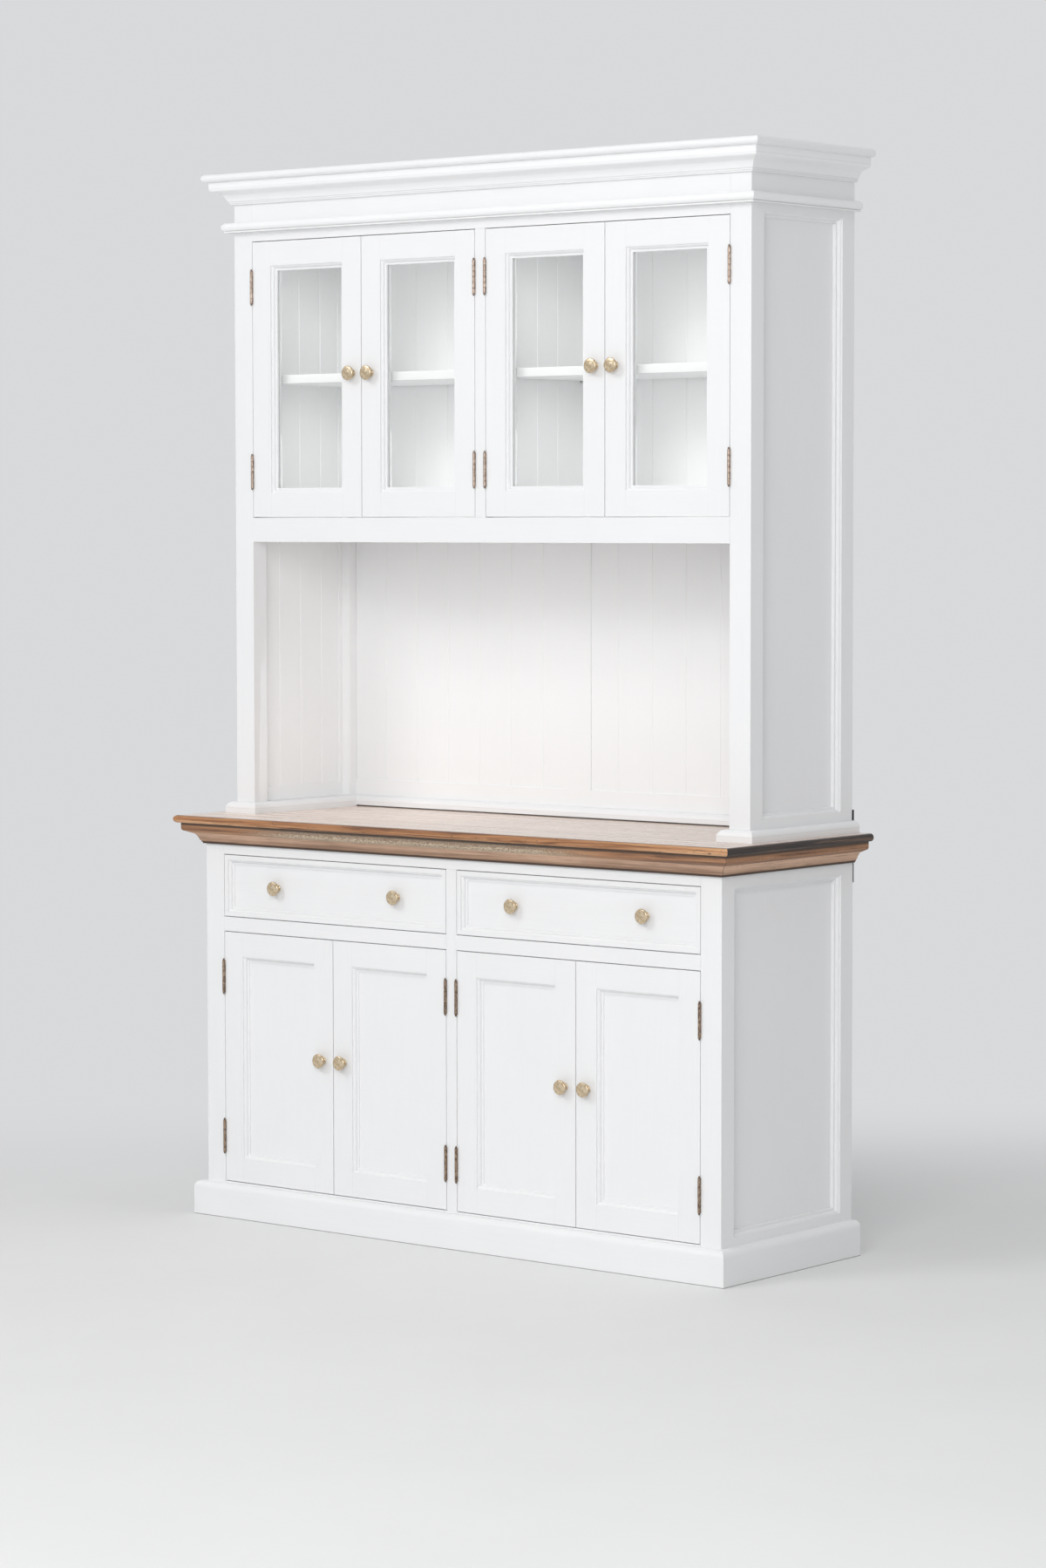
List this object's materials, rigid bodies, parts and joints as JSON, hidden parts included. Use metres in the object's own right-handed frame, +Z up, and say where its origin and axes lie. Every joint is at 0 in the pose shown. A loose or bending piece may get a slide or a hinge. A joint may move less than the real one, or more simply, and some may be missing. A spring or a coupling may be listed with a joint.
{
  "type": "dresser with hutch",
  "caption": "Tall painted dresser: glazed cabinet over an open boarded niche, on a base of drawers and panelled cupboards with a brown wooden counter.",
  "frame": {"origin": "middle of the footprint, on the floor under the plinth", "axes": "+X to the dresser's right as seen from the front, +Y from the doors towards the back, +Z up"},
  "size_m": [1.454, 0.4934, 2.2],
  "materials": {
    "white_paint": "brushed satin off-white paint",
    "stained_wood": "worn brown stain under a waxed surface",
    "bare_pine": "bare planed pine",
    "brass": "turned satin brass",
    "aged_brass": "aged brass",
    "steel": "zinc plated",
    "black_steel": "black paint",
    "pane_glass": "clear flat glass"
  },
  "bodies": {
    "carcass": {"base_posts": "white_paint", "base_rails": "white_paint", "base_side_panels": "white_paint", "base_back_panels": "white_paint", "base_inner_boards": "white_paint", "drawer_runners": "bare_pine", "plinth_boards": "white_paint", "counter_board": "stained_wood", "counter_moulding": "stained_wood", "hutch_posts": "white_paint", "hutch_rails": "white_paint", "hutch_side_panels": "white_paint", "hutch_back_boards": "white_paint", "hutch_inner_boards": "white_paint", "foot_moulding": "white_paint", "cornice_moulding": "white_paint", "top_board": "white_paint", "shelves": "white_paint", "shelf_pins_and_catches": "steel", "joining_straps": "black_steel", "hinge_leaves_on_posts": "aged_brass"},
    "panel_door_left_outer": {"panel_door_left_outer_frame": "white_paint", "panel_door_left_outer_centre": "white_paint", "panel_door_left_outer_knob": "brass", "panel_door_left_outer_hinge_leaves": "aged_brass"},
    "panel_door_left_inner": {"panel_door_left_inner_frame": "white_paint", "panel_door_left_inner_centre": "white_paint", "panel_door_left_inner_knob": "brass", "panel_door_left_inner_hinge_leaves": "aged_brass"},
    "panel_door_right_inner": {"panel_door_right_inner_frame": "white_paint", "panel_door_right_inner_centre": "white_paint", "panel_door_right_inner_knob": "brass", "panel_door_right_inner_hinge_leaves": "aged_brass"},
    "panel_door_right_outer": {"panel_door_right_outer_frame": "white_paint", "panel_door_right_outer_centre": "white_paint", "panel_door_right_outer_knob": "brass", "panel_door_right_outer_hinge_leaves": "aged_brass"},
    "glass_door_left_outer": {"glass_door_left_outer_frame": "white_paint", "glass_door_left_outer_pane": "pane_glass", "glass_door_left_outer_knob": "brass", "glass_door_left_outer_hinge_leaves": "aged_brass"},
    "glass_door_left_inner": {"glass_door_left_inner_frame": "white_paint", "glass_door_left_inner_pane": "pane_glass", "glass_door_left_inner_knob": "brass", "glass_door_left_inner_hinge_leaves": "aged_brass"},
    "glass_door_right_inner": {"glass_door_right_inner_frame": "white_paint", "glass_door_right_inner_pane": "pane_glass", "glass_door_right_inner_knob": "brass", "glass_door_right_inner_hinge_leaves": "aged_brass"},
    "glass_door_right_outer": {"glass_door_right_outer_frame": "white_paint", "glass_door_right_outer_pane": "pane_glass", "glass_door_right_outer_knob": "brass", "glass_door_right_outer_hinge_leaves": "aged_brass"},
    "left_drawer": {"left_drawer_front": "white_paint", "left_drawer_box": "bare_pine", "left_drawer_knobs": "brass"},
    "right_drawer": {"right_drawer_front": "white_paint", "right_drawer_box": "bare_pine", "right_drawer_knobs": "brass"}
  },
  "joints": [
    {"name": "panel_door_left_outer_hinge", "type": "hinge", "parent": "carcass", "child": "panel_door_left_outer", "pos_m": [-0.62625, -0.19995, 0.34025], "axis": [0, 0, -1], "range_deg": [0, 110]},
    {"name": "panel_door_left_inner_hinge", "type": "hinge", "parent": "carcass", "child": "panel_door_left_inner", "pos_m": [-0.014, -0.19995, 0.34025], "axis": [0, 0, 1], "range_deg": [0, 85]},
    {"name": "panel_door_right_inner_hinge", "type": "hinge", "parent": "carcass", "child": "panel_door_right_inner", "pos_m": [0.014, -0.19995, 0.34025], "axis": [0, 0, -1], "range_deg": [0, 85]},
    {"name": "panel_door_right_outer_hinge", "type": "hinge", "parent": "carcass", "child": "panel_door_right_outer", "pos_m": [0.62625, -0.19995, 0.34025], "axis": [0, 0, 1], "range_deg": [0, 110]},
    {"name": "glass_door_left_outer_hinge", "type": "hinge", "parent": "carcass", "child": "glass_door_left_outer", "pos_m": [-0.62425, -0.10595, 1.768], "axis": [0, 0, -1], "range_deg": [0, 110]},
    {"name": "glass_door_left_inner_hinge", "type": "hinge", "parent": "carcass", "child": "glass_door_left_inner", "pos_m": [-0.014, -0.10595, 1.768], "axis": [0, 0, 1], "range_deg": [0, 85]},
    {"name": "glass_door_right_inner_hinge", "type": "hinge", "parent": "carcass", "child": "glass_door_right_inner", "pos_m": [0.014, -0.10595, 1.768], "axis": [0, 0, -1], "range_deg": [0, 85]},
    {"name": "glass_door_right_outer_hinge", "type": "hinge", "parent": "carcass", "child": "glass_door_right_outer", "pos_m": [0.62425, -0.10595, 1.768], "axis": [0, 0, 1], "range_deg": [0, 110]},
    {"name": "left_drawer_slide", "type": "slide", "parent": "carcass", "child": "left_drawer", "axis": [0, -1, 0], "range_m": [0, 0.3]},
    {"name": "right_drawer_slide", "type": "slide", "parent": "carcass", "child": "right_drawer", "axis": [0, -1, 0], "range_m": [0, 0.3]}
  ]
}
